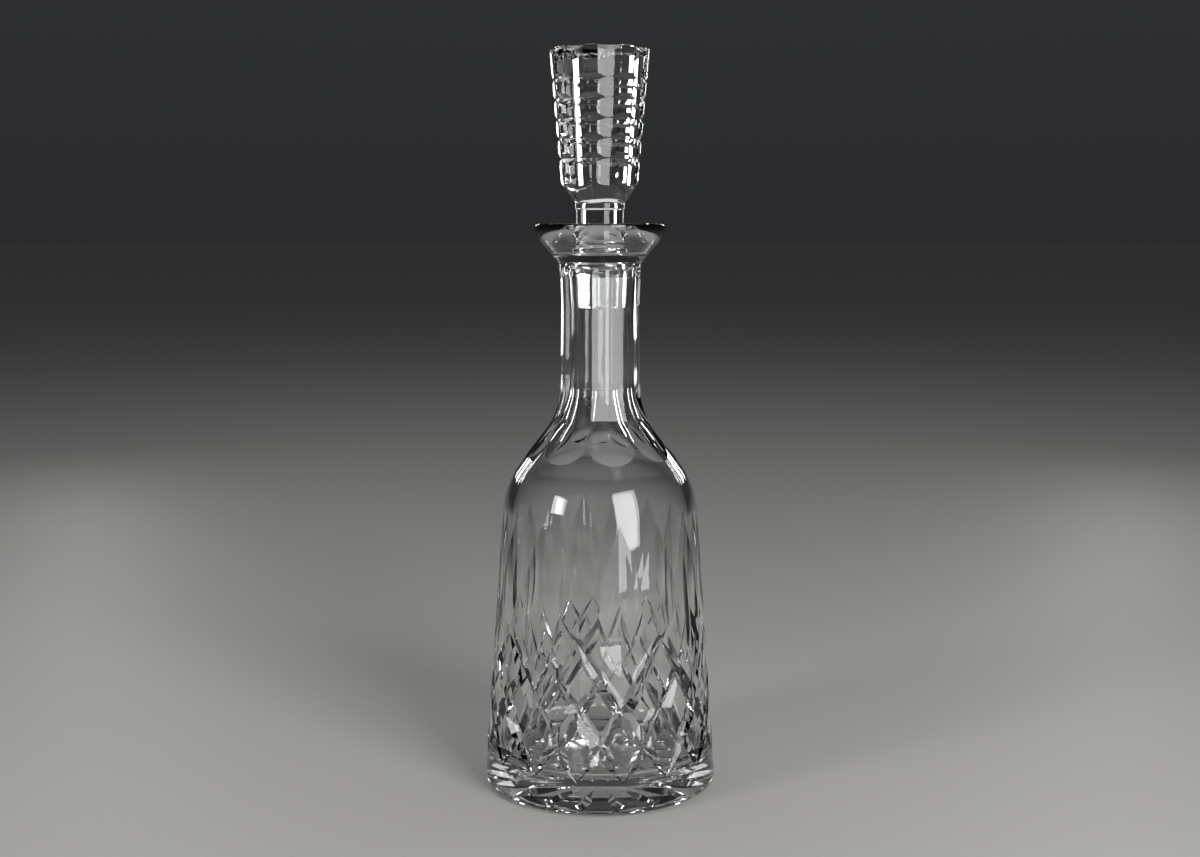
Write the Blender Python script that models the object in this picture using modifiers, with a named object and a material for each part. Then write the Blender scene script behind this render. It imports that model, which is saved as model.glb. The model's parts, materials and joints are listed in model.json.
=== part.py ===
"""Cut crystal wine decanter: a blown bottle with a flared lip, and a solid ground-glass stopper.

Metres, +Z up. The origin is the middle of the face the bottle stands on.
Angles run round the Z axis: angle 0 faces -Y and they grow towards +X.
"""
import math

import bmesh
import bpy
from mathutils import Vector

# Bottle, lengths from foot to rim between the corners of its outside, before rounding
BODY_HEIGHT = 0.1340            # straight side, up to the shoulder's corner
SHOULDER_RISE = 0.0330          # slope, up to the neck's corner
LOWER_NECK_LENGTH = 0.0450      # up to the waist
UPPER_NECK_LENGTH = 0.0200      # up to the root of the lip
LIP_UNDERSIDE_RISE = 0.0099     # up to the bend where the lip is nearly as wide as the rim
LIP_EDGE_HEIGHT = 0.0041

# Bottle, radii: the neck and the lip are built outwards from the bore
BODY_FOOT_RADIUS = 0.0519       # where the straight side would reach the table
SHOULDER_RADIUS = 0.0422
NECK_BORE_RADIUS = 0.0107
NECK_WALL = 0.0069              # at the waist, before the panels are cut
NECK_FOOT_SPREAD = 0.0006       # wider than the waist
LIP_ROOT_SPREAD = 0.0006        # wider than the waist
LIP_OVERHANG = 0.0094           # wider than the root of the lip
RIM_OVERHANG = 0.0009           # wider than the bend of the lip

# Bottle, roundings
HEEL_ROUND = 0.0045
SHOULDER_ROUND = 0.0380
NECK_FOOT_ROUND = 0.0280
NECK_WAIST_ROUND = 0.0600
LIP_ROOT_ROUND = 0.0015
LIP_FLARE_ROUND = 0.0105
LIP_BOWL_ROUND = 0.0060
RIM_ROUND = 0.0010
FLOOR_ROUND = 0.0100

# Bottle, walls and the ground seat of the stopper
BODY_WALL = 0.0042
BASE_THICKNESS = 0.0130
RIM_WALL = 0.0024
LIP_WALL = 0.0042
SEAT_DROP = 0.0125              # from the rim down to the mouth of the tapered seat
SEAT_LENGTH = 0.0230
SEAT_WIDENING = 0.0012          # growth in radius up the seat

# Hollow under the foot and its star
FOOT_RING_WIDTH = 0.0080
FOOT_HOLLOW_DEPTH = 0.0015
STAR_RAYS = 16
STAR_HUB_RADIUS = 0.0055        # where the rays start
STAR_REACH = 0.0340
STAR_RAY_DEPTH = 0.0016
STAR_RAY_HALF_WIDTH = 0.0026
STAR_RAY_LEAN = 1.3             # puts the deepest part of a ray past its middle
STAR_RAY_ROOM = 0.8             # share of its own sector that a ray may fill near the hub

# Stopper
FIT_CLEARANCE = 0.0003          # between the peg and its seat
PEG_END_GAP = 0.0015            # seat left free below the peg
PEG_SHOULDER_HEIGHT = 0.0065    # ground part that stands above the seat
PEG_TIP_CHAMFER = 0.0008
STEM_INSET = 0.0016             # stem thinner than the ground part, on the radius
STEM_LENGTH = 0.0150
BEAD_OVERHANG = 0.0006
BEAD_HEIGHT = 0.0025
HEAD_FLARE_HEIGHT = 0.0085
HEAD_BOTTOM_RADIUS = 0.0168
HEAD_TOP_RADIUS = 0.0216
HEAD_HEIGHT = 0.0565
CROWN_CHAMFER = 0.0033
CROWN_HEIGHT = 0.0035
STOPPER_ROUND = 0.0009
HEAD_PANELS = 8
HEAD_PANEL_HOLLOW = 0.0004       # how far the faces dip between the edges
STEP_CUTS = 5
STEP_FIRST = 0.0100             # lowest step cut above the bottom of the head
STEP_LAST_DROP = 0.0098         # highest step cut below the crown
STEP_DEPTH = 0.0011             # across an upright edge; the faces stay uncut
STEP_SLOPE = 1.6                # half height of a step cut for each unit of depth

# Cut pattern on the body
SECTORS = 8                     # large diamonds round the body
LATTICE_BOTTOM = 0.0147
LONG_MITRE_ROWS = 4
SHORT_MITRE_ROWS = 3
MITRE_DEPTH = 0.0022
MITRE_HALF_WIDTH = 0.0048
MITRE_OVERRUN = 0.0015          # how far mitres run past the points of the diamonds
LEFT_MITRE_EXTRA = 0.00006      # the left-hand set, cut second, goes a hair deeper than the right
WEDGE_DEPTH = 0.0019
WEDGE_LENGTH = 0.0560           # of the shorter wedge cuts, which stand on the large diamonds
WEDGE_TOP_DROP = 0.0030         # from the shoulder's corner down to the upper tips
WEDGE_TOP_RUN = 0.0250          # length over which a wedge cut runs out at its upper tip
WEDGE_TIP_RUN = 0.0180          # the same at its lower tip

# Flat panels on the neck
NECK_PANELS = 8
PANEL_TOP_DROP = 0.0040         # from the root of the lip down to the panels' arched tops
PANEL_TOP_RUN = 0.0055
PANEL_REACH = 0.0205            # from the neck's corner down the shoulder
PANEL_BOTTOM_RUN = 0.0110

# Facets
TURN_STEPS = 48
SEAM_ANGLE = math.radians(2.0)  # keeps the facets' edges clear of the axes of the cuts
ARC_STEP = math.radians(15.0)
MITRE_STEPS = 6
STAR_STEPS = 4
HOLLOW_STEPS = 5
CUT_MARGIN = 0.0020             # how far every cutter stands out of the glass
RUN_OUT = 0.0002                # how far a cut's floor ends above the surface
RIDGE_DROP = 0.00015            # how far a ridge between two cuts lies under the turned surface
VEE_REACH = 1.15                # a section's width over the distance between its ridges
HOLLOW_REACH = 1.25             # the same for a hollow section, in angle

NECK_FOOT_HEIGHT = BODY_HEIGHT + SHOULDER_RISE
NECK_WAIST_HEIGHT = NECK_FOOT_HEIGHT + LOWER_NECK_LENGTH
LIP_ROOT_HEIGHT = NECK_WAIST_HEIGHT + UPPER_NECK_LENGTH
LIP_FLARE_HEIGHT = LIP_ROOT_HEIGHT + LIP_UNDERSIDE_RISE
RIM_HEIGHT = LIP_FLARE_HEIGHT + LIP_EDGE_HEIGHT
NECK_WAIST_RADIUS = NECK_BORE_RADIUS + NECK_WALL
NECK_FOOT_RADIUS = NECK_WAIST_RADIUS + NECK_FOOT_SPREAD
LIP_ROOT_RADIUS = NECK_WAIST_RADIUS + LIP_ROOT_SPREAD
LIP_FLARE_RADIUS = LIP_ROOT_RADIUS + LIP_OVERHANG
RIM_RADIUS = LIP_FLARE_RADIUS + RIM_OVERHANG
FOOT_HOLLOW_RADIUS = BODY_FOOT_RADIUS - HEEL_ROUND - FOOT_RING_WIDTH
SEAT_TOP_HEIGHT = RIM_HEIGHT - SEAT_DROP
SEAT_BOTTOM_HEIGHT = SEAT_TOP_HEIGHT - SEAT_LENGTH
STEM_BOTTOM = SEAT_TOP_HEIGHT + PEG_SHOULDER_HEIGHT
HEAD_BOTTOM = STEM_BOTTOM + STEM_LENGTH + BEAD_HEIGHT + HEAD_FLARE_HEIGHT
HEAD_TOP = HEAD_BOTTOM + HEAD_HEIGHT
WEDGE_TOP = BODY_HEIGHT - WEDGE_TOP_DROP
LONG_MITRE_TOP = WEDGE_TOP - WEDGE_LENGTH - MITRE_OVERRUN
DIAMOND_HEIGHT = (LONG_MITRE_TOP - LATTICE_BOTTOM) / LONG_MITRE_ROWS
PANEL_BOTTOM = NECK_FOOT_HEIGHT - PANEL_REACH
PANEL_TOP = LIP_ROOT_HEIGHT - PANEL_TOP_DROP
HALF_SECTOR = math.pi / SECTORS


def clear_scene():
    for existing in list(bpy.data.objects):
        bpy.data.objects.remove(existing, do_unlink=True)


def new_collection(name, parent=None):
    collection = bpy.data.collections.new(name)
    (parent or bpy.context.scene.collection).children.link(collection)
    return collection


def crystal(name):
    """Clear, faintly warm lead crystal, polished all over."""
    material = bpy.data.materials.new(name)
    material.use_nodes = True
    shader = material.node_tree.nodes["Principled BSDF"]
    shader.inputs["Base Color"].default_value = (0.96, 0.965, 0.96, 1.0)
    shader.inputs["Metallic"].default_value = 0.0
    shader.inputs["Roughness"].default_value = 0.02
    shader.inputs["IOR"].default_value = 1.55
    shader.inputs["Transmission Weight"].default_value = 1.0
    return material


def ground_crystal(name):
    """The same crystal where the stopper is ground to fit, a little misty."""
    material = crystal(name)
    material.node_tree.nodes["Principled BSDF"].inputs["Roughness"].default_value = 0.08
    return material


# ---------------------------------------------------------------- profiles

def rounded_profile(corners):
    """Points (radius, height) along corners (radius, height, fillet) with each fillet drawn in."""
    points = [Vector(corners[0][:2])]
    for before, corner, after in zip(corners, corners[1:], corners[2:]):
        points += fillet_points(Vector(before[:2]), Vector(corner[:2]), Vector(after[:2]), corner[2])
    points.append(Vector(corners[-1][:2]))
    return points


def fillet_points(before, corner, after, radius):
    into = (corner - before).normalized()
    out = (after - corner).normalized()
    turn = math.atan2(into.x * out.y - into.y * out.x, into.dot(out))
    if radius == 0.0 or abs(turn) < math.radians(0.5):
        return [corner]
    reach = radius * math.tan(abs(turn) / 2.0)
    start = corner - into * reach
    side = math.copysign(1.0, turn)
    centre = start + Vector((-into.y, into.x)) * radius * side
    count = max(1, math.ceil(abs(turn) / ARC_STEP))
    arm = start - centre
    points = []
    for index in range(count + 1):
        swing = turn * index / count
        spun = Vector((arm.x * math.cos(swing) - arm.y * math.sin(swing),
                       arm.x * math.sin(swing) + arm.y * math.cos(swing)))
        points.append(centre + spun)
    return points


def wall_line(start, end, wall):
    """The line start-end moved inwards by the wall; start lies below end."""
    along = (end - start).normalized()
    inward = Vector((-along.y, along.x))
    return start + inward * wall, along


def crossing(line_a, line_b):
    (point_a, along_a), (point_b, along_b) = line_a, line_b
    spread = along_a.x * along_b.y - along_a.y * along_b.x
    gap = point_b - point_a
    return point_a + along_a * ((gap.x * along_b.y - gap.y * along_b.x) / spread)


def seat_radius(height):
    """Radius of the seat's taper at a height, also where the peg's taper runs on above it."""
    return NECK_BORE_RADIUS + SEAT_WIDENING * (height - SEAT_BOTTOM_HEIGHT) / SEAT_LENGTH


def outer_corners():
    """The outside of the bottle from its rim down to the heel."""
    return [
        (RIM_RADIUS, RIM_HEIGHT, RIM_ROUND),
        (LIP_FLARE_RADIUS, LIP_FLARE_HEIGHT, LIP_FLARE_ROUND),
        (LIP_ROOT_RADIUS, LIP_ROOT_HEIGHT, LIP_ROOT_ROUND),
        (NECK_WAIST_RADIUS, NECK_WAIST_HEIGHT, NECK_WAIST_ROUND),
        (NECK_FOOT_RADIUS, NECK_FOOT_HEIGHT, NECK_FOOT_ROUND),
        (SHOULDER_RADIUS, BODY_HEIGHT, SHOULDER_ROUND),
        (BODY_FOOT_RADIUS, 0.0, HEEL_ROUND),
    ]


def inner_corners():
    """The inside from the middle of the floor up to the rim."""
    foot = Vector((BODY_FOOT_RADIUS, 0.0))
    shoulder = Vector((SHOULDER_RADIUS, BODY_HEIGHT))
    neck_foot = Vector((NECK_FOOT_RADIUS, NECK_FOOT_HEIGHT))
    side = wall_line(foot, shoulder, BODY_WALL)
    slope = wall_line(shoulder, neck_foot, BODY_WALL)
    floor = (Vector((0.0, BASE_THICKNESS)), Vector((1.0, 0.0)))
    bore = (Vector((NECK_BORE_RADIUS, 0.0)), Vector((0.0, 1.0)))
    floor_edge = crossing(side, floor)
    inner_shoulder = crossing(side, slope)
    inner_neck_foot = crossing(slope, bore)
    lip_root_height = LIP_ROOT_HEIGHT + LIP_WALL
    return [
        (0.0, BASE_THICKNESS, 0.0),
        (floor_edge.x, floor_edge.y, FLOOR_ROUND),
        (inner_shoulder.x, inner_shoulder.y, SHOULDER_ROUND - BODY_WALL),
        (inner_neck_foot.x, inner_neck_foot.y, NECK_FOOT_ROUND),
        (NECK_BORE_RADIUS, SEAT_BOTTOM_HEIGHT, 0.0),
        (NECK_BORE_RADIUS + SEAT_WIDENING, SEAT_TOP_HEIGHT, 0.0),
        (LIP_ROOT_RADIUS, lip_root_height, LIP_BOWL_ROUND),
        (RIM_RADIUS - RIM_WALL, RIM_HEIGHT, RIM_ROUND),
    ]


def foot_hollow_height(radius):
    """Height of the shallow hollow under the foot at this radius."""
    share = min(radius / FOOT_HOLLOW_RADIUS, 1.0)
    return FOOT_HOLLOW_DEPTH * (1.0 - share * share)


def foot_hollow_points():
    """The hollow from the standing ring in to the axis."""
    return [Vector((FOOT_HOLLOW_RADIUS * share, foot_hollow_height(FOOT_HOLLOW_RADIUS * share)))
            for share in (1.0, 0.8, 0.55, 0.3, 0.0)]


def bottle_profile():
    corners = inner_corners() + outer_corners() + [(FOOT_HOLLOW_RADIUS, 0.0, 0.0)]
    return rounded_profile(corners)[:-1] + foot_hollow_points()


def radius_at(profile, height):
    """Radius of a turned surface at a height, the profile running from top to bottom."""
    for upper, lower in zip(profile, profile[1:]):
        if lower.y <= height <= upper.y and upper.y > lower.y:
            share = (height - lower.y) / (upper.y - lower.y)
            return lower.x + (upper.x - lower.x) * share
    return profile[-1].x


# ---------------------------------------------------------------- meshes

def turned(name, profile, material, collection):
    """A closed turned solid whose profile starts and ends on the axis."""
    mesh = bpy.data.meshes.new(name)
    edges = [(index, index + 1) for index in range(len(profile) - 1)]
    seam = Vector((math.cos(SEAM_ANGLE), math.sin(SEAM_ANGLE), 0.0))
    points = [seam * point.x + Vector((0.0, 0.0, point.y)) for point in profile]
    mesh.from_pydata(points, edges, [])
    mesh.materials.append(material)
    solid = bpy.data.objects.new(name, mesh)
    collection.objects.link(solid)
    screw = solid.modifiers.new("Turned", "SCREW")
    screw.axis = "Z"
    screw.steps = TURN_STEPS
    screw.render_steps = TURN_STEPS
    screw.use_merge_vertices = True
    screw.merge_threshold = 0.00001
    screw.use_smooth_shade = True
    return solid


def loft(builder, rings, endless):
    """Join equal rings of points into one closed shell: flat ends, or a band that meets itself."""
    loops = [[builder.verts.new(point) for point in ring] for ring in rings]
    count = len(loops[0])
    pairs = list(zip(loops, loops[1:]))
    if endless:
        pairs.append((loops[-1], loops[0]))
    for low, high in pairs:
        for index in range(count):
            after = (index + 1) % count
            builder.faces.new((low[index], low[after], high[after], high[index]))
    if not endless:
        builder.faces.new(list(reversed(loops[0])))
        builder.faces.new(loops[-1])


def cutter(name, lofts, collection, endless=False):
    """One cutter object from several separate lofted shells."""
    builder = bmesh.new()
    for rings in lofts:
        loft(builder, rings, endless)
    bmesh.ops.triangulate(builder, faces=builder.faces[:])
    bmesh.ops.recalc_face_normals(builder, faces=builder.faces[:])
    mesh = bpy.data.meshes.new(name)
    builder.to_mesh(mesh)
    builder.free()
    tool = bpy.data.objects.new(name, mesh)
    collection.objects.link(tool)
    tool.hide_render = True
    tool.display_type = "WIRE"
    return tool


def cut(solid, tools):
    """Take every cutter in a collection out of the solid in one go."""
    boolean = solid.modifiers.new("Cut", "BOOLEAN")
    boolean.operation = "DIFFERENCE"
    boolean.solver = "EXACT"
    boolean.operand_type = "COLLECTION"
    boolean.collection = tools


# ---------------------------------------------------------------- cutter sections

def vee(half_width, depth):
    """A V of straight sides: (offset, rise) points across the cut."""
    reach = 1.0 + CUT_MARGIN / (2.0 * depth)
    return [(-half_width * reach, depth * reach), (0.0, 0.0), (half_width * reach, depth * reach)]


def shared_edge(radius, half_angle, depth):
    """Offset and rise of the ridge that two neighbouring cuts of this depth share."""
    ridge = radius - RIDGE_DROP
    offset = ridge * math.sin(half_angle)
    rise = ridge * math.cos(half_angle) - (radius - depth)
    return offset, rise


def shared_vee(radius, half_angle, depth):
    offset, rise = shared_edge(radius, half_angle, depth)
    across, up = offset * VEE_REACH, rise * VEE_REACH
    return [(-across, up), (0.0, 0.0), (across, up)]


def shared_hollow(radius, half_angle, depth):
    """A round-bottomed section through the same two ridges."""
    offset, rise = shared_edge(radius, half_angle, depth)
    wheel = (offset * offset + rise * rise) / (2.0 * rise)
    reach = math.asin(offset / wheel) * HOLLOW_REACH
    swings = steps(-reach, reach, HOLLOW_STEPS)
    return [(wheel * math.sin(swing), wheel * (1.0 - math.cos(swing))) for swing in swings]


def side_ring(angle, height, surface, depth, section):
    """A level ring of points across a cut in the side, with its lid clear of the glass."""
    outward = Vector((math.sin(angle), -math.cos(angle), 0.0))
    sideways = Vector((math.cos(angle), math.sin(angle), 0.0))
    level = Vector((0.0, 0.0, height))
    floor = surface - depth
    lid = surface + CUT_MARGIN
    points = [(offset, floor + rise) for offset, rise in section]
    points += [(section[-1][0], max(lid, points[-1][1] + CUT_MARGIN)),
               (section[0][0], max(lid, points[0][1] + CUT_MARGIN))]
    return [level + outward * reach + sideways * offset for offset, reach in points]


def foot_ring(angle, radius, depth, section):
    """A ring of points across a star ray cut up into the foot."""
    outward = Vector((math.sin(angle), -math.cos(angle), 0.0))
    sideways = Vector((math.cos(angle), math.sin(angle), 0.0))
    ceiling = foot_hollow_height(radius) + depth
    points = [(offset, ceiling - rise) for offset, rise in section]
    lid = min(0.0, points[0][1]) - CUT_MARGIN
    points += [(section[-1][0], lid), (section[0][0], lid)]
    return [outward * radius + sideways * offset + Vector((0.0, 0.0, height))
            for offset, height in points]


def steps(start, end, count):
    return [start + (end - start) * index / count for index in range(count + 1)]


# ---------------------------------------------------------------- the cuts

def mitre_rings(profile, start_angle, hand, rows):
    """One V mitre climbing round the body, deepest halfway and pointed at both ends."""
    run = rows * DIAMOND_HEIGHT
    overrun = MITRE_OVERRUN / run
    extra = LEFT_MITRE_EXTRA if hand < 0.0 else 0.0
    rings = []
    for share in steps(-overrun, 1.0 + overrun, MITRE_STEPS):
        height = LATTICE_BOTTOM + share * run
        angle = start_angle - hand * HALF_SECTOR / 2.0 * rows * (1.0 - share)
        swell = (2.0 * share - 1.0) / (1.0 + 2.0 * overrun)
        depth = (MITRE_DEPTH + RUN_OUT) * (1.0 - swell * swell) - RUN_OUT + extra
        section = vee(MITRE_HALF_WIDTH, MITRE_DEPTH)
        rings.append(side_ring(angle, height, radius_at(profile, height), depth, section))
    return rings


def mitres(profile, hand):
    """All mitres of one hand: long ones from the peaks, short ones from between them."""
    cuts = []
    for sector in range(SECTORS):
        peak = 2.0 * HALF_SECTOR * sector
        cuts.append(mitre_rings(profile, peak, hand, LONG_MITRE_ROWS))
        between = peak + hand * HALF_SECTOR / 2.0
        cuts.append(mitre_rings(profile, between, hand, SHORT_MITRE_ROWS))
    return cuts


def running_in(start, run, shares):
    """Heights where a wheel sinks smoothly into the glass, each with its share of full depth."""
    return [(start + run * share, 1.0 - (1.0 - share) ** 2) for share in shares]


def rings_along(profile, angle, stations, section_at, depth_at):
    """Rings of an upright cut at stations of (height, share of full depth)."""
    rings = []
    for height, share in stations:
        surface = radius_at(profile, height)
        depth = (depth_at(surface) + RUN_OUT) * share - RUN_OUT
        rings.append(side_ring(angle, height, surface, depth, section_at(surface)))
    return rings


def wedge_section(radius):
    return shared_vee(radius, HALF_SECTOR / 2.0, WEDGE_DEPTH)


def wedge_depth(_):
    return WEDGE_DEPTH


def wedge_rings(profile, angle, tip):
    """One upright wedge cut with a point at each end."""
    stations = running_in(tip, WEDGE_TIP_RUN, (0.0, 0.2, 0.5, 1.0))
    stations += reversed(running_in(WEDGE_TOP, -WEDGE_TOP_RUN, (0.0, 0.15, 0.5, 1.0)))
    return rings_along(profile, angle, stations, wedge_section, wedge_depth)


def neck_panel_section(radius):
    """A flat wheel, wide enough to cross its neighbours at the ridges."""
    across = radius * math.sin(math.pi / NECK_PANELS) * VEE_REACH
    return [(-across, 0.0), (across, 0.0)]


def neck_panel_depth(radius):
    return radius - (radius - RIDGE_DROP) * math.cos(math.pi / NECK_PANELS)


def neck_panel_rings(profile, angle):
    """One flat panel down the neck, following its bends out over the shoulder."""
    low = PANEL_BOTTOM + PANEL_BOTTOM_RUN
    high = PANEL_TOP - PANEL_TOP_RUN
    bends = sorted(point.y for point in profile if low < point.y < high)
    stations = running_in(PANEL_BOTTOM, PANEL_BOTTOM_RUN, (0.0, 0.2, 0.5, 1.0))
    stations += [(height, 1.0) for height in bends]
    stations += [(high + PANEL_TOP_RUN * share, math.sqrt(1.0 - share * share))
                 for share in (0.0, 0.6, 0.9, 1.0)]
    return rings_along(profile, angle, stations, neck_panel_section, neck_panel_depth)


def star_rings(angle):
    """One ray of the star, pointed at the hub and at its far end."""
    section = vee(STAR_RAY_HALF_WIDTH, STAR_RAY_DEPTH)
    rings = []
    for share in steps(0.0, 1.0, STAR_STEPS):
        radius = STAR_HUB_RADIUS + (STAR_REACH - STAR_HUB_RADIUS) * share
        depth = STAR_RAY_DEPTH * math.sin(math.pi * share ** STAR_RAY_LEAN) - RUN_OUT
        room = STAR_RAY_ROOM * radius * math.pi / STAR_RAYS / section[-1][0]
        narrowed = [(offset * min(1.0, room), rise) for offset, rise in section]
        rings.append(foot_ring(angle, radius, depth, narrowed))
    return rings


def head_corner(height):
    """Distance of the head's upright edges from the axis at a height."""
    share = (height - HEAD_BOTTOM) / (HEAD_TOP - CROWN_HEIGHT - HEAD_BOTTOM)
    return HEAD_BOTTOM_RADIUS + (HEAD_TOP_RADIUS - HEAD_BOTTOM_RADIUS) * share


def head_panel_rings(angle):
    """One hollow-ground face of the stopper's head."""
    rings = []
    half_angle = math.pi / HEAD_PANELS
    for height in (HEAD_BOTTOM - HEAD_FLARE_HEIGHT, HEAD_TOP + CUT_MARGIN):
        corner = head_corner(height)
        depth = corner * (1.0 - math.cos(half_angle)) + HEAD_PANEL_HOLLOW
        section = shared_hollow(corner, half_angle, depth)
        rings.append(side_ring(angle, height, corner, depth, section))
    return rings


def step_rings(index):
    """A V ring with a flat across each upright edge of the head, so that it notches only these."""
    pitch = (HEAD_HEIGHT - CROWN_HEIGHT - STEP_LAST_DROP - STEP_FIRST) / (STEP_CUTS - 1)
    height = HEAD_BOTTOM + STEP_FIRST + index * pitch
    half_face = math.pi / HEAD_PANELS
    floor = head_corner(height) - STEP_DEPTH
    lid = floor + STEP_DEPTH + CUT_MARGIN
    spread = (lid - floor) * STEP_SLOPE
    rings = []
    for panel in range(HEAD_PANELS):
        angle = half_face * (2.0 * panel + 1.0)
        outward = Vector((math.sin(angle), -math.cos(angle), 0.0)) / math.cos(half_face)
        rings.append([outward * reach + Vector((0.0, 0.0, level))
                      for reach, level in ((floor, height), (lid, height + spread),
                                           (lid, height - spread))])
    return rings


# ---------------------------------------------------------------- the two pieces

def make_bottle(parts, cutters):
    profile = rounded_profile([(0.0, RIM_HEIGHT, 0.0)] + outer_corners() + [(0.0, 0.0, 0.0)])
    bottle = turned("bottle", bottle_profile(), crystal("cut_crystal"), parts)
    peaks = [2.0 * HALF_SECTOR * sector for sector in range(SECTORS)]
    peak_tip = WEDGE_TOP - WEDGE_LENGTH
    valley_tip = LATTICE_BOTTOM + SHORT_MITRE_ROWS * DIAMOND_HEIGHT
    faces = [2.0 * math.pi / NECK_PANELS * (index + 0.5) for index in range(NECK_PANELS)]
    star_angles = [2.0 * math.pi / STAR_RAYS * index for index in range(STAR_RAYS)]
    tools = [
        ("peak_wedges", [wedge_rings(profile, angle, peak_tip) for angle in peaks]),
        ("valley_wedges", [wedge_rings(profile, angle + HALF_SECTOR, valley_tip) for angle in peaks]),
        ("right_mitres", mitres(profile, 1.0)),
        ("left_mitres", mitres(profile, -1.0)),
        ("even_neck_panels", [neck_panel_rings(profile, angle) for angle in faces[0::2]]),
        ("odd_neck_panels", [neck_panel_rings(profile, angle) for angle in faces[1::2]]),
        ("foot_star", [star_rings(angle) for angle in star_angles]),
    ]
    wheels = new_collection("bottle_cutters", cutters)
    for name, lofts in tools:
        cutter(name, lofts, wheels)
    cut(bottle, wheels)
    return bottle


def stopper_profile():
    peg_tip = SEAT_BOTTOM_HEIGHT + PEG_END_GAP
    tip_radius = seat_radius(peg_tip) - FIT_CLEARANCE
    ground_radius = seat_radius(STEM_BOTTOM) - FIT_CLEARANCE
    stem_radius = ground_radius - STEM_INSET
    stem_top = STEM_BOTTOM + STEM_LENGTH
    bead_radius = stem_radius + BEAD_OVERHANG
    corners = [
        (0.0, HEAD_TOP, 0.0),
        (HEAD_TOP_RADIUS - CROWN_CHAMFER, HEAD_TOP, 0.0),
        (HEAD_TOP_RADIUS, HEAD_TOP - CROWN_HEIGHT, 0.0),
        (HEAD_BOTTOM_RADIUS, HEAD_BOTTOM, STOPPER_ROUND),
        (bead_radius, HEAD_BOTTOM - HEAD_FLARE_HEIGHT, STOPPER_ROUND),
        (bead_radius, stem_top, STOPPER_ROUND),
        (stem_radius, stem_top - BEAD_OVERHANG, 0.0),
        (stem_radius, STEM_BOTTOM + STEM_INSET, 0.0),
        (ground_radius, STEM_BOTTOM, 0.0),
        (tip_radius, peg_tip + PEG_TIP_CHAMFER, 0.0),
        (tip_radius - PEG_TIP_CHAMFER, peg_tip, 0.0),
        (0.0, peg_tip, 0.0),
    ]
    return rounded_profile(corners)


def make_stopper(parts, cutters):
    stopper = turned("stopper", stopper_profile(), ground_crystal("ground_crystal"), parts)
    angles = [2.0 * math.pi / HEAD_PANELS * (index + 0.5) for index in range(HEAD_PANELS)]
    wheels = new_collection("stopper_cutters", cutters)
    cutter("even_head_panels", [head_panel_rings(angle) for angle in angles[0::2]], wheels)
    cutter("odd_head_panels", [head_panel_rings(angle) for angle in angles[1::2]], wheels)
    cutter("head_steps", [step_rings(index) for index in range(STEP_CUTS)], wheels, endless=True)
    cut(stopper, wheels)
    return stopper


def main():
    clear_scene()
    parts = new_collection("wine_decanter")
    cutters = new_collection("cutters")
    make_bottle(parts, cutters)
    make_stopper(parts, cutters)


main()
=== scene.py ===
"""Looks of a cut crystal wine decanter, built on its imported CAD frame. Metres, +Z up.

Angles run round the Z axis: angle 0 faces -Y, through the point of a large diamond, and they
grow towards +X. Every cut is made as on a cutter's bench: a wheel's section is carried along
the glass and taken away.
"""
import json
import math

import bmesh
import bpy
from mathutils import Matrix, Vector

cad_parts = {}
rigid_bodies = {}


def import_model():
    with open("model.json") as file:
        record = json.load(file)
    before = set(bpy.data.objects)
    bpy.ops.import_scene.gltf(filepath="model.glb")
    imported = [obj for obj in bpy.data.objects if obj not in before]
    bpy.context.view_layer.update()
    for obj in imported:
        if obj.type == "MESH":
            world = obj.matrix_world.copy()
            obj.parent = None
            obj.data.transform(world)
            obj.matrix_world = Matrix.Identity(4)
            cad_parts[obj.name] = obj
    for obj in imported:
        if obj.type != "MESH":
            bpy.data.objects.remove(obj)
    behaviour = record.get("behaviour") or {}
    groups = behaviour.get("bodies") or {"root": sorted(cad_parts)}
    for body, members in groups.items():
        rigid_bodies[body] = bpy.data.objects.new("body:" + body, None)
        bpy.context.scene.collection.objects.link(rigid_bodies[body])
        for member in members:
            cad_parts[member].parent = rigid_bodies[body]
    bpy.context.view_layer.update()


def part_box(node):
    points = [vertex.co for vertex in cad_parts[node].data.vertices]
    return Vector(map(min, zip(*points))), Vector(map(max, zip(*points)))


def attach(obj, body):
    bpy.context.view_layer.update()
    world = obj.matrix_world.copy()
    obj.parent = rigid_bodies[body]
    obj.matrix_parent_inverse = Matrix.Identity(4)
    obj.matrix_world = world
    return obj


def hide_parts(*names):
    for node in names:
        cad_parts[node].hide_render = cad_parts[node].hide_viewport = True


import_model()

MM = 0.001
bottle_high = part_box("bottle")[1]
stopper_low, stopper_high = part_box("stopper")

# Bottle outside, rim to foot: (radius, height, reach of the rounding, its segments)
LIP_DRAWN_UP = 2.6 * MM  # above the CAD's rim
RIM = bottle_high.z + LIP_DRAWN_UP
FOOT_RADIUS = 51.9 * MM
HEEL_REACH = 4.2 * MM
OUTSIDE = [
    (28.6 * MM, RIM, 1.1 * MM, 8),
    (27.9 * MM, 242.8 * MM, 3.6 * MM, 12),
    (18.2 * MM, 232.0 * MM, 0.7 * MM, 5),
    (17.6 * MM, 212.0 * MM, 4.0 * MM, 6),
    (18.2 * MM, 167.0 * MM, 9.0 * MM, 12),
    (42.2 * MM, 134.0 * MM, 10.9 * MM, 14),
    (FOOT_RADIUS, 0.0, HEEL_REACH, 12),
]
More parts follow.
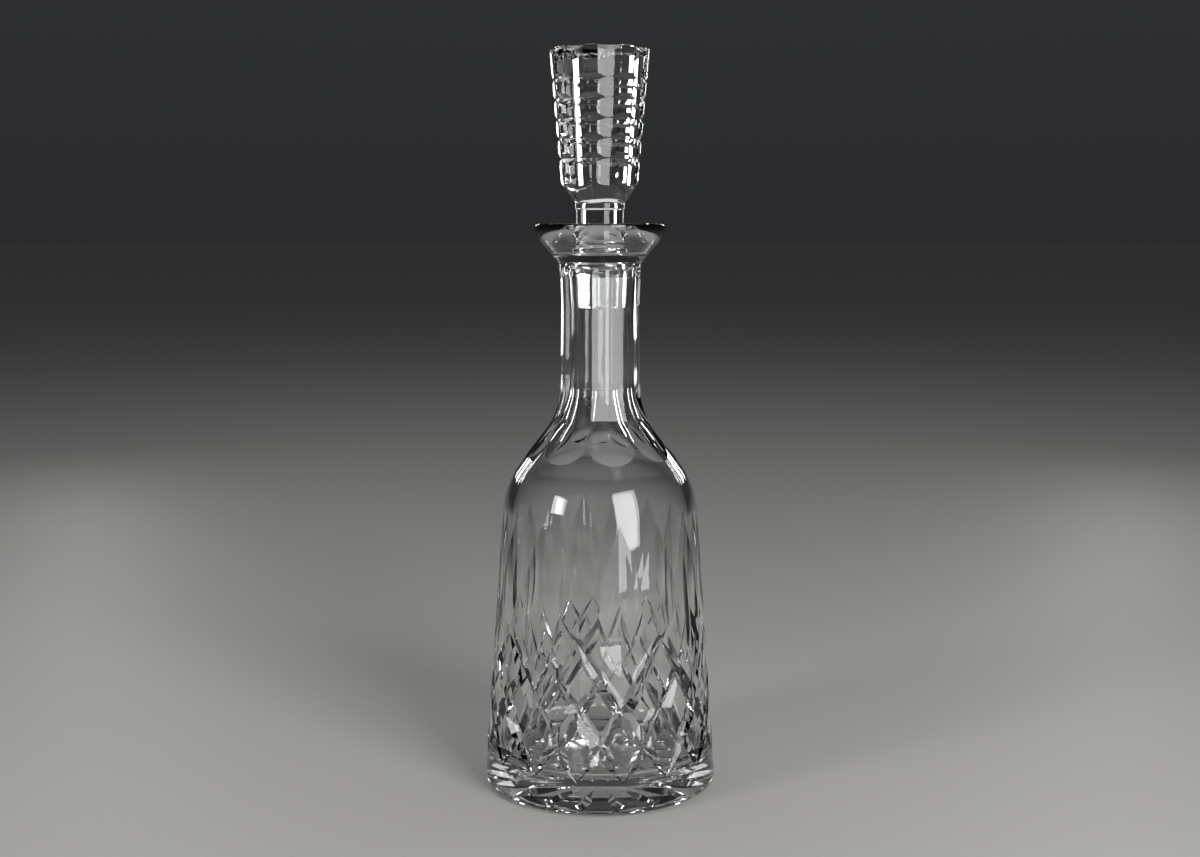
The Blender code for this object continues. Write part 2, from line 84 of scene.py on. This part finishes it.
# Bottle inside, floor to rim
SEAT_TOP = 233.5 * MM
SEAT_BOTTOM = 210.5 * MM
INSIDE = [
    (0.0, 13.0 * MM, 0.0, 1),
    (46.7 * MM, 13.0 * MM, 9.3 * MM, 12),
    (38.0 * MM, 132.2 * MM, 9.7 * MM, 14),
    (10.7 * MM, 169.9 * MM, 9.0 * MM, 12),
    (10.7 * MM, SEAT_BOTTOM, 0.0, 1),
    (11.9 * MM, SEAT_TOP, 0.0, 1),
    (18.2 * MM, 236.2 * MM, 2.0 * MM, 8),
    (26.1 * MM, RIM, 0.9 * MM, 6),
]
SEAT_FACES_WITHIN = 12.2 * MM  # tells the seat's faces from the neck's outside
HOLLOW_RADIUS = 39.4 * MM
HOLLOW_DEPTH = 1.5 * MM
HOLLOW_SHARES = (0.85, 0.7, 0.55, 0.4, 0.25, 0.1, 0.0)

# The cut pattern
SECTORS = 8
SECTOR = 2.0 * math.pi / SECTORS
ROW = 14.7 * MM
LATTICE_BOTTOM = 14.7 * MM
LONG_ROWS = 4
SHORT_ROWS = 3
MITRE_DEPTH = 2.2 * MM
MITRE_HALF_WIDTH = 4.8 * MM
OVERRUN = 1.5 * MM  # how far the mitres run past the points of the diamonds
LEFT_EXTRA = 0.06 * MM  # the left-hand set goes a hair deeper, so that the floors never just touch
WEDGE_DEPTH = 1.9 * MM
WEDGE_TOP = 131.0 * MM
WEDGE_TOP_RUN = 42.0 * MM
WEDGE_TIP_RUN = 18.0 * MM
PANEL_TOP = 230.6 * MM
PANEL_TOP_RUN = 5.5 * MM
PANEL_BOTTOM = 146.5 * MM
PANEL_BOTTOM_RUN = 11.0 * MM
STAR_RAYS = 16
STAR_HUB = 5.5 * MM
STAR_REACH = 38.6 * MM
STAR_DEPTH = 1.8 * MM
STAR_HALF_WIDTH = 3.2 * MM
STAR_LEAN = 1.6  # puts the deepest part of a ray past its middle
STAR_ROOM = 0.5  # share of its own sector that a ray may fill near the hub
RUN_OUT = 0.2 * MM  # how far a cut's floor ends above the surface
RIDGE_DROP = 0.15 * MM  # how far a ridge between two cuts lies under the turned surface

# Stopper
HEAD_TOP = stopper_high.z
HEAD_BOTTOM = HEAD_TOP - 56.5 * MM
HEAD_FLARE = 8.5 * MM
CROWN = 3.5 * MM
HEAD_TOP_RADIUS = 21.6 * MM
HEAD_BOTTOM_RADIUS = 16.8 * MM
HEAD_PANEL_HALF_ANGLE = math.radians(15.9)
HEAD_PANEL_HOLLOW = 0.25 * MM
SCALLOP_DROP = 2.6 * MM
SCALLOP_RUN = 4.2 * MM
SCALLOP_BOW = 3.2 * MM
STEPS_UP_HEAD = 5
STEP_PITCH = 8.3 * MM
FIRST_STEP = 10.0 * MM
STEP_DEPTH = 1.05 * MM
STEP_SLOPE = 2.0
PEG_CHAMFER = 0.8 * MM
GROUND_FROM = stopper_low.z + 1.0 * MM
GROUND_TO = 239.8 * MM
STOPPER = [
    (0.0, HEAD_TOP, 0.0, 1),
    (HEAD_TOP_RADIUS, HEAD_TOP, 0.7 * MM, 5),
    (HEAD_BOTTOM_RADIUS, HEAD_BOTTOM, 0.8 * MM, 4),
    (10.94 * MM, 257.5 * MM, 0.6 * MM, 4),
    (10.94 * MM, 255.0 * MM, 0.3 * MM, 4),
    (10.34 * MM, 254.4 * MM, 0.2 * MM, 3),
    (10.34 * MM, 241.6 * MM, 0.4 * MM, 3),
    (11.93 * MM, 240.0 * MM, 0.25 * MM, 3),
    (10.48 * MM, stopper_low.z + PEG_CHAMFER, 0.2 * MM, 3),
    (9.68 * MM, stopper_low.z, 0.2 * MM, 3),
    (0.0, stopper_low.z, 0.0, 1),
]

# Fineness of the meshes
CLEAR = 2.0 * MM  # how far a cutter stands out of the glass
WELD = 0.001 * MM
CREASE = math.radians(7.5)  # faces that meet more sharply than this keep their edge
LONG_EDGE = 30.0 * MM  # straight walls taller than this are divided, which keeps faces compact
LONG_EDGE_CUTS = 15
SEAM = math.radians(0.47)  # keeps the turned edges clear of the middles of the cuts
ROUND_STEPS = 256
LENGTH_STEPS = 36
HOLLOW_STEPS = 16

# Materials and stage
LEAD_CRYSTAL_IOR = 1.55
SMEAR_SIZE = 9.0 * MM
PAINT_TOOTH = 1.5 * MM
FLOOR_RADIUS = 20.0
FLOOR_GAP = 0.2 * MM
CAMERA_AZIMUTH = math.degrees(SECTOR / 4.0)
CAMERA_DISTANCE = 0.6835
CAMERA_TIP = 7.47  # degrees down from level
CAMERA_LENS = 46.9  # millimetres


# ---------------------------------------------------------------- turning

def outline_of(corners):
    """A wire down a turned shape, with each corner rolled round."""
    wire = bmesh.new()
    verts = [wire.verts.new((radius, 0.0, height)) for radius, height, _, _ in corners]
    for start, end in zip(verts, verts[1:]):
        wire.edges.new((start, end))
    for vert, (_, _, reach, segments) in zip(verts, corners):
        if reach > 0.0:
            bmesh.ops.bevel(wire, geom=[vert], offset=reach, offset_type="OFFSET",
                            segments=segments, profile=0.5, affect="VERTICES", material=-1)
    return wire


def radius_along(corners):
    """The turned radius as a function of height, for an outside that is read top to bottom."""
    wire = outline_of(corners)
    points = sorted((vert.co.z, vert.co.x) for vert in wire.verts)
    wire.free()

    def radius_at(height):
        for (low, inner), (high, outer) in zip(points, points[1:]):
            if low <= height <= high and high > low:
                return inner + (outer - inner) * (height - low) / (high - low)
        return points[-1][1] if height > points[-1][0] else points[0][1]

    return radius_at


def turn(wire):
    """Spins the wire into a closed round solid."""
    bmesh.ops.spin(wire, geom=wire.verts[:] + wire.edges[:], axis=(0.0, 0.0, 1.0),
                   cent=(0.0, 0.0, 0.0), angle=2.0 * math.pi, steps=ROUND_STEPS, use_merge=True)
    bmesh.ops.remove_doubles(wire, verts=wire.verts[:], dist=WELD)
    bmesh.ops.rotate(wire, cent=(0.0, 0.0, 0.0), matrix=Matrix.Rotation(SEAM, 3, "Z"),
                     verts=wire.verts[:])
    bmesh.ops.recalc_face_normals(wire, faces=wire.faces[:])
    return wire


# ---------------------------------------------------------------- cutting wheels

def vee(reach, lid):
    """The section of a sharp wheel: one unit wide each side and one unit deep."""
    return [(-reach, reach), (0.0, 0.0), (reach, reach), (reach, lid), (-reach, lid)]


def flat(reach, lid):
    """The section of a broad wheel that leaves a flat panel."""
    return [(-reach, 0.0), (reach, 0.0), (reach, lid), (-reach, lid)]


def hollow(reach, lid):
    """The section of a round-edged wheel through the same points."""
    shares = [reach * (2.0 * index / HOLLOW_STEPS - 1.0) for index in range(HOLLOW_STEPS + 1)]
    return [(share, share * share) for share in shares] + [(reach, lid), (-reach, lid)]


def on_side(angle, height, floor, offset, rise):
    """Places a unit section level across the side, with its floor at this radius."""
    place = Matrix.Rotation(angle, 4, "Z") @ Matrix.Translation((0.0, -floor, height))
    return place @ Matrix.Rotation(math.pi, 4, "X") @ Matrix.Diagonal((offset, rise, 1.0, 1.0))


def under_foot(angle, radius, ceiling, offset, rise):
    """Places a unit section across a ray under the foot."""
    place = Matrix.Rotation(angle, 4, "Z") @ Matrix.Translation((0.0, -radius, ceiling))
    return place @ Matrix.Rotation(-math.pi / 2.0, 4, "X") @ Matrix.Diagonal((offset, rise, 1.0, 1.0))


def wheel_path(section, places):
    """The solid that a wheel's section sweeps through its places."""
    swept = bmesh.new()
    start = swept.faces.new([swept.verts.new((across, deep, 0.0)) for across, deep in section])
    bmesh.ops.transform(swept, matrix=places[0], verts=swept.verts[:])
    end = start
    for before, after in zip(places, places[1:]):
        grown = bmesh.ops.extrude_face_region(swept, geom=[end])["geom"]
        if end is not start:
            bmesh.ops.delete(swept, geom=[end], context="FACES_ONLY")
        end = [part for part in grown if isinstance(part, bmesh.types.BMFace)][0]
        bmesh.ops.transform(swept, matrix=after @ before.inverted(), verts=end.verts[:])
    return swept


def tool(name, sweeps, copies, rack, material_index):
    """One cutter: the sweeps, repeated evenly round the axis."""
    body = bmesh.new()
    for swept in sweeps:
        part = bpy.data.meshes.new(name)
        swept.to_mesh(part)
        swept.free()
        body.from_mesh(part)
        bpy.data.meshes.remove(part)
    first = body.verts[:] + body.edges[:] + body.faces[:]
    if copies > 1:
        bmesh.ops.spin(body, geom=first, axis=(0.0, 0.0, 1.0), cent=(0.0, 0.0, 0.0),
                       angle=2.0 * math.pi * (copies - 1) / copies, steps=copies - 1,
                       use_duplicate=True)
    bmesh.ops.triangulate(body, faces=body.faces[:])
    bmesh.ops.recalc_face_normals(body, faces=body.faces[:])
    for face in body.faces:
        face.material_index = material_index
    mesh = bpy.data.meshes.new(name)
    body.to_mesh(mesh)
    body.free()
    cutter = bpy.data.objects.new(name, mesh)
    rack.objects.link(cutter)


def evenly(start, end, count):
    """Values from start to end, with count equal gaps."""
    return [start + (end - start) * index / count for index in range(count + 1)]


def sunk(share):
    """How far a wheel has sunk, from 0 at the surface to 1, as it runs in."""
    inside = min(max(share, 0.0), 1.0)
    return 1.0 - (1.0 - inside) ** 2


def eased(share):
    """A run-out that starts and ends level, for a cut that fades away."""
    inside = min(max(share, 0.0), 1.0)
    return inside * inside * (3.0 - 2.0 * inside)


def shared_ridge(radius, half_angle, depth):
    """Offset and rise of the ridge between two neighbouring cuts."""
    ridge = radius - RIDGE_DROP
    return ridge * math.sin(half_angle), ridge * math.cos(half_angle) - (radius - depth)


def mitre(side, rows, start, hand):
    """A V mitre that climbs round the body, pointed at both ends."""
    run = rows * ROW
    past = OVERRUN / run
    places = []
    for share in evenly(-past, 1.0 + past, LENGTH_STEPS):
        height = LATTICE_BOTTOM + share * run
        angle = start - hand * SECTOR / 4.0 * rows * (1.0 - share)
        swell = (2.0 * share - 1.0) / (1.0 + 2.0 * past)
        depth = (MITRE_DEPTH + RUN_OUT) * (1.0 - swell * swell) - RUN_OUT
        depth += LEFT_EXTRA if hand < 0.0 else 0.0
        places.append(on_side(angle, height, side(height) - depth, MITRE_HALF_WIDTH, MITRE_DEPTH))
    return wheel_path(vee(reach=1.35, lid=2.2), places)


def wedge(side, angle, tip):
    """An upright wedge cut, pointed at both ends."""
    places = []
    for height in evenly(tip, WEDGE_TOP, LENGTH_STEPS):
        share = sunk((height - tip) / WEDGE_TIP_RUN) * eased((WEDGE_TOP - height) / WEDGE_TOP_RUN)
        depth = (WEDGE_DEPTH + RUN_OUT) * share - RUN_OUT
        radius = side(height)
        offset, rise = shared_ridge(radius, SECTOR / 4.0, WEDGE_DEPTH)
        places.append(on_side(angle, height, radius - depth, offset, rise))
    return wheel_path(vee(reach=1.15, lid=5.0), places)


def neck_panel(side, angle):
    """A flat panel down the neck and out over the shoulder."""
    places = []
    for height in evenly(PANEL_BOTTOM, PANEL_TOP, 2 * LENGTH_STEPS):
        low = sunk((height - PANEL_BOTTOM) / PANEL_BOTTOM_RUN)
        short = max(0.0, (height - PANEL_TOP + PANEL_TOP_RUN) / PANEL_TOP_RUN)
        share = min(low, math.sqrt(max(0.0, 1.0 - short * short)))
        radius = side(height)
        full_depth = radius - (radius - RIDGE_DROP) * math.cos(SECTOR / 2.0)
        depth = (full_depth + RUN_OUT) * share - RUN_OUT
        places.append(on_side(angle, height, radius - depth, radius * math.sin(SECTOR / 2.0), MM))
    return wheel_path(flat(reach=1.15, lid=14.0), places)


def hollow_height(radius):
    """Height of the shallow hollow under the foot at a radius."""
    return HOLLOW_DEPTH * (1.0 - (radius / HOLLOW_RADIUS) ** 2)


def star_ray():
    """One ray of the star under the foot."""
    places = []
    for share in evenly(0.0, 1.0, LENGTH_STEPS // 2):
        radius = STAR_HUB + (STAR_REACH - STAR_HUB) * share
        depth = STAR_DEPTH * math.sin(math.pi * share ** STAR_LEAN) - RUN_OUT
        width = min(STAR_HALF_WIDTH, STAR_ROOM * radius * math.pi / STAR_RAYS)
        places.append(under_foot(0.0, radius, hollow_height(radius) + depth, width, STAR_DEPTH))
    return wheel_path(vee(reach=1.6, lid=4.0), places)


def head_corner(height):
    """Radius of the turned head at a height, before its faces are cut."""
    share = (height - HEAD_BOTTOM) / (HEAD_TOP - CROWN - HEAD_BOTTOM)
    return HEAD_BOTTOM_RADIUS + (HEAD_TOP_RADIUS - HEAD_BOTTOM_RADIUS) * share


def head_panel(angle):
    """One hollow-ground face of the stopper's head; a strip of the turned glass stays beside it."""
    places = []
    for height in (HEAD_BOTTOM - HEAD_FLARE, HEAD_TOP + CLEAR):
        corner = head_corner(height)
        offset = corner * math.sin(HEAD_PANEL_HALF_ANGLE)
        floor = corner * math.cos(HEAD_PANEL_HALF_ANGLE) - HEAD_PANEL_HOLLOW
        places.append(on_side(angle, height, floor, offset, HEAD_PANEL_HOLLOW))
    return wheel_path(hollow(reach=1.5, lid=40.0), places)


def crown_scallop(angle):
    """A hollow bevel on the top of one face, so that the strips beside it stand up as points."""
    apothem = head_corner(HEAD_TOP) * math.cos(HEAD_PANEL_HALF_ANGLE)
    width = head_corner(HEAD_TOP) * math.sin(HEAD_PANEL_HALF_ANGLE)
    places = []
    for share in (-0.5, 2.0):
        height = HEAD_TOP - SCALLOP_DROP * share
        reach = apothem + SCALLOP_RUN * (share - 1.0)
        places.append(on_side(angle, height, reach, width, SCALLOP_BOW))
    return wheel_path(hollow(reach=1.15, lid=4.0), places)


def head_step(index):
    """A V ring round the head, deep enough to notch the strips and just mark the faces."""
    height = HEAD_BOTTOM + FIRST_STEP + index * STEP_PITCH
    floor = head_corner(height) - STEP_DEPTH
    lid = floor + STEP_DEPTH + CLEAR
    spread = (lid - floor) * STEP_SLOPE
    ring = bmesh.new()
    verts = [ring.verts.new(place) for place in ((floor, 0.0, height), (lid, 0.0, height + spread),
                                                 (lid, 0.0, height - spread))]
    edges = [ring.edges.new((verts[side], verts[side - 1])) for side in range(3)]
    bmesh.ops.spin(ring, geom=verts + edges, axis=(0.0, 0.0, 1.0), cent=(0.0, 0.0, 0.0),
                   angle=2.0 * math.pi, steps=ROUND_STEPS, use_merge=True)
    bmesh.ops.remove_doubles(ring, verts=ring.verts[:], dist=WELD)
    return ring


# ---------------------------------------------------------------- finishing pieces

def cut_piece(name, turned, rack, materials):
    """Cuts the turned glass with every tool in the rack and returns the finished piece."""
    mesh = bpy.data.meshes.new(name)
    turned.to_mesh(mesh)
    turned.free()
    for material in materials:
        mesh.materials.append(material)
    blank = bpy.data.objects.new(name + "_blank", mesh)
    bpy.context.scene.collection.objects.link(blank)
    boolean = blank.modifiers.new("Cut", "BOOLEAN")
    boolean.operation = "DIFFERENCE"
    boolean.solver = "EXACT"
    boolean.operand_type = "COLLECTION"
    boolean.collection = rack
    graph = bpy.context.evaluated_depsgraph_get()
    cut_mesh = bpy.data.meshes.new_from_object(blank.evaluated_get(graph))
    cut_mesh.name = name
    bpy.data.objects.remove(blank)
    for cutter in list(rack.objects):
        bpy.data.objects.remove(cutter)
    bpy.data.collections.remove(rack)
    piece = bpy.data.objects.new(name, cut_mesh)
    bpy.context.scene.collection.objects.link(piece)
    return piece


def new_rack(name):
    """An empty rack for the tools that cut one piece."""
    rack = bpy.data.collections.new(name)
    bpy.context.scene.collection.children.link(rack)
    return rack


def smooth(piece):
    """Polished faces, with every cut edge left sharp."""
    piece.data.shade_smooth()
    piece.data.set_sharp_from_angle(angle=CREASE)


BLOWN, CUT, GROUND = 0, 1, 2


def make_bottle(materials):
    side = radius_along(OUTSIDE)
    base = [(HOLLOW_RADIUS, 0.0, 0.0, 1)]
    base += [(HOLLOW_RADIUS * share, hollow_height(HOLLOW_RADIUS * share), 0.0, 1)
             for share in HOLLOW_SHARES]
    wire = outline_of(INSIDE + OUTSIDE + base)
    long_edges = [edge for edge in wire.edges
                  if abs(edge.verts[0].co.z - edge.verts[1].co.z) > LONG_EDGE]
    bmesh.ops.subdivide_edges(wire, edges=long_edges, cuts=LONG_EDGE_CUTS)
    turned = turn(wire)
    for face in turned.faces:
        middle = face.calc_center_median()
        ground = SEAT_BOTTOM < middle.z < SEAT_TOP and middle.xy.length < SEAT_FACES_WITHIN
        face.material_index = GROUND if ground else BLOWN
    rack = new_rack("bottle_tools")
    peak_tip = LATTICE_BOTTOM + LONG_ROWS * ROW + OVERRUN
    valley_tip = LATTICE_BOTTOM + SHORT_ROWS * ROW
    tool("peak_wedges", [wedge(side, 0.0, peak_tip)], SECTORS, rack, CUT)
    tool("valley_wedges", [wedge(side, SECTOR / 2.0, valley_tip)], SECTORS, rack, CUT)
    for name, hand in (("right_mitres", 1.0), ("left_mitres", -1.0)):
        pair = [mitre(side, LONG_ROWS, 0.0, hand),
                mitre(side, SHORT_ROWS, hand * SECTOR / 4.0, hand)]
        tool(name, pair, SECTORS, rack, CUT)
    tool("even_neck_panels", [neck_panel(side, SECTOR * 0.5)], SECTORS // 2, rack, CUT)
    tool("odd_neck_panels", [neck_panel(side, SECTOR * 1.5)], SECTORS // 2, rack, CUT)
    tool("star", [star_ray()], STAR_RAYS, rack, CUT)
    piece = cut_piece("bottle_cut_crystal", turned, rack, materials)
    smooth(piece)
    return piece


def make_stopper(materials):
    turned = turn(outline_of(STOPPER))
    for face in turned.faces:
        ground = GROUND_FROM < face.calc_center_median().z < GROUND_TO
        face.material_index = GROUND if ground else BLOWN
    rack = new_rack("stopper_tools")
    tool("even_head_panels", [head_panel(SECTOR * 0.5)], SECTORS // 2, rack, CUT)
    tool("odd_head_panels", [head_panel(SECTOR * 1.5)], SECTORS // 2, rack, CUT)
    tool("even_scallops", [crown_scallop(SECTOR * 0.5)], SECTORS // 2, rack, CUT)
    tool("odd_scallops", [crown_scallop(SECTOR * 1.5)], SECTORS // 2, rack, CUT)
    tool("head_steps", [head_step(index) for index in range(STEPS_UP_HEAD)], 1, rack, CUT)
    piece = cut_piece("stopper_cut_crystal", turned, rack, materials)
    smooth(piece)
    return piece


# ---------------------------------------------------------------- materials

def linear(hex_colour):
    """An sRGB hex colour as linear red, green, blue and alpha."""
    channels = [int(hex_colour[start:start + 2], 16) / 255.0 for start in (0, 2, 4)]
    return tuple(channel / 12.92 if channel <= 0.04045 else ((channel + 0.055) / 1.055) ** 2.4
                 for channel in channels) + (1.0,)


def add_node(tree, kind, settings=None, **links):
    """Adds a node, sets its sockets and properties, and links the sockets that are given."""
    node = tree.nodes.new(kind)
    for key, value in (settings or {}).items():
        if key in node.inputs:
            node.inputs[key].default_value = value
        else:
            setattr(node, key, value)
    for socket, source in links.items():
        tree.links.new(source, node.inputs[socket.replace("_", " ")])
    return node


def new_material(name):
    material = bpy.data.materials.new(name)
    material.use_nodes = True
    material.node_tree.nodes.clear()
    return material, material.node_tree


def crystal(name, ripple_size, ripple_height, haze_low, haze_high):
    """Lead crystal: clear and colourless, with an IOR above window glass.

    The high IOR makes the cut edges go dark and bright, the ripple bends the lines seen through
    the walls a little, and the haze takes the mirror finish off in patches.
    """
    material, tree = new_material(name)
    place = add_node(tree, "ShaderNodeTexCoord").outputs["Object"]
    ripple = add_node(tree, "ShaderNodeTexNoise", {"Scale": 1.0 / ripple_size, "Detail": 2.0},
                      Vector=place)
    bump = add_node(tree, "ShaderNodeBump", {"Strength": 1.0, "Distance": ripple_height},
                    Height=ripple.outputs["Fac"])
    smears = add_node(tree, "ShaderNodeTexNoise", {"Scale": 1.0 / SMEAR_SIZE, "Detail": 4.0},
                      Vector=place)
    haze = add_node(tree, "ShaderNodeMapRange",
                    {"From Min": 0.35, "From Max": 0.75, "To Min": haze_low, "To Max": haze_high},
                    Value=smears.outputs["Fac"])
    shader = add_node(tree, "ShaderNodeBsdfPrincipled",
                      {"Base Color": linear("FBFCFC"), "IOR": LEAD_CRYSTAL_IOR,
                       "Transmission Weight": 1.0},
                      Roughness=haze.outputs["Result"], Normal=bump.outputs["Normal"])
    add_node(tree, "ShaderNodeOutputMaterial", None, Surface=shader.outputs["BSDF"])
    return material


def floor_board(name):
    """A pale matt painted board, with the faint tooth of rolled paint to break up its sheen."""
    material, tree = new_material(name)
    place = add_node(tree, "ShaderNodeTexCoord").outputs["Object"]
    tooth = add_node(tree, "ShaderNodeTexNoise", {"Scale": 1.0 / PAINT_TOOTH, "Detail": 3.0},
                     Vector=place)
    bump = add_node(tree, "ShaderNodeBump", {"Strength": 0.2, "Distance": 0.1 * MM},
                    Height=tooth.outputs["Fac"])
    shader = add_node(tree, "ShaderNodeBsdfPrincipled",
                      {"Base Color": linear("D4D2CE"), "Roughness": 0.6},
                      Normal=bump.outputs["Normal"])
    add_node(tree, "ShaderNodeOutputMaterial", None, Surface=shader.outputs["BSDF"])
    return material


# ---------------------------------------------------------------- stage

def make_floor():
    board = bmesh.new()
    bmesh.ops.create_circle(board, cap_ends=True, segments=64, radius=FLOOR_RADIUS)
    mesh = bpy.data.meshes.new("floor")
    board.to_mesh(mesh)
    board.free()
    mesh.materials.append(floor_board("rolled_white_paint"))
    floor = bpy.data.objects.new("floor", mesh)
    floor.location.z = -FLOOR_GAP
    bpy.context.scene.collection.objects.link(floor)


def round_the_axis(azimuth, distance, level):
    """A place at an azimuth in degrees, this far from the axis and this high."""
    angle = math.radians(azimuth)
    return Vector((distance * math.sin(angle), -distance * math.cos(angle), level))


def soft_light(name, azimuth, distance, level, width, height, power):
    """A rectangular soft box at an azimuth round the decanter, facing its middle."""
    lamp = bpy.data.lights.new(name, "AREA")
    lamp.shape = "RECTANGLE"
    lamp.size = width
    lamp.size_y = height
    lamp.energy = power
    light = bpy.data.objects.new(name, lamp)
    light.location = round_the_axis(azimuth, distance, level)
    towards = Vector((0.0, 0.0, RIM / 2.0)) - light.location
    light.rotation_euler = towards.to_track_quat("-Z", "Y").to_euler()
    light.visible_camera = False
    bpy.context.scene.collection.objects.link(light)
    return light


def make_world():
    """A dim, neutral room, darker towards the floor, so that the glass edges stand out."""
    world = bpy.data.worlds.new("studio")
    world.use_nodes = True
    tree = world.node_tree
    direction = add_node(tree, "ShaderNodeTexCoord").outputs["Generated"]
    upward = add_node(tree, "ShaderNodeSeparateXYZ", None, Vector=direction).outputs["Z"]
    glow = add_node(tree, "ShaderNodeMapRange", {"From Max": 0.5, "To Min": 0.7, "To Max": 1.2},
                    Value=upward)
    background = tree.nodes["Background"]
    background.inputs["Color"].default_value = linear("333436")
    tree.links.new(glow.outputs["Result"], background.inputs["Strength"])
    bpy.context.scene.world = world


def make_camera():
    """Level with the rim and tipped down so that the whole decanter fills the picture."""
    lens = bpy.data.cameras.new("camera")
    lens.sensor_width = 36.0
    lens.lens = CAMERA_LENS
    camera = bpy.data.objects.new("camera", lens)
    camera.location = round_the_axis(CAMERA_AZIMUTH, CAMERA_DISTANCE, RIM)
    camera.rotation_euler = (math.radians(90.0 - CAMERA_TIP), 0.0, math.radians(CAMERA_AZIMUTH))
    bpy.context.scene.collection.objects.link(camera)
    bpy.context.scene.camera = camera


def main():
    blown = crystal("blown_lead_crystal", ripple_size=16.0 * MM, ripple_height=0.05 * MM,
                    haze_low=0.0, haze_high=0.02)
    cut = crystal("wheel_cut_polished_crystal", ripple_size=3.0 * MM, ripple_height=0.004 * MM,
                  haze_low=0.0, haze_high=0.03)
    ground = crystal("ground_crystal", ripple_size=0.5 * MM, ripple_height=0.003 * MM,
                     haze_low=0.04, haze_high=0.09)
    bottle = make_bottle([blown, cut, ground])
    stopper = make_stopper([blown, cut, ground])
    for piece, node, slot in ((bottle, "bottle", "cut_crystal"),
                              (stopper, "stopper", "stopper_crystal")):
        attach(piece, node)
        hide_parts(node)
    make_floor()
    make_world()
    soft_light("window_right", azimuth=44.0, distance=1.0, level=0.42, width=0.50, height=0.80,
               power=8.0)
    soft_light("window_left", azimuth=-42.0, distance=1.0, level=0.50, width=0.24, height=0.30,
               power=2.2)
    for name, azimuth in (("edge_right", 161.0), ("edge_left", -139.0)):
        strip = soft_light(name, azimuth, distance=1.1, level=0.45, width=0.10, height=0.50,
                           power=1.1)
        strip.visible_diffuse = False
    soft_light("overhead", azimuth=180.0, distance=0.1, level=1.5, width=1.50, height=1.50,
               power=5.0)
    make_camera()
    scene = bpy.context.scene
    scene.cycles.max_bounces = 32
    scene.cycles.transmission_bounces = 32
    scene.view_settings.view_transform = "Standard"


main()
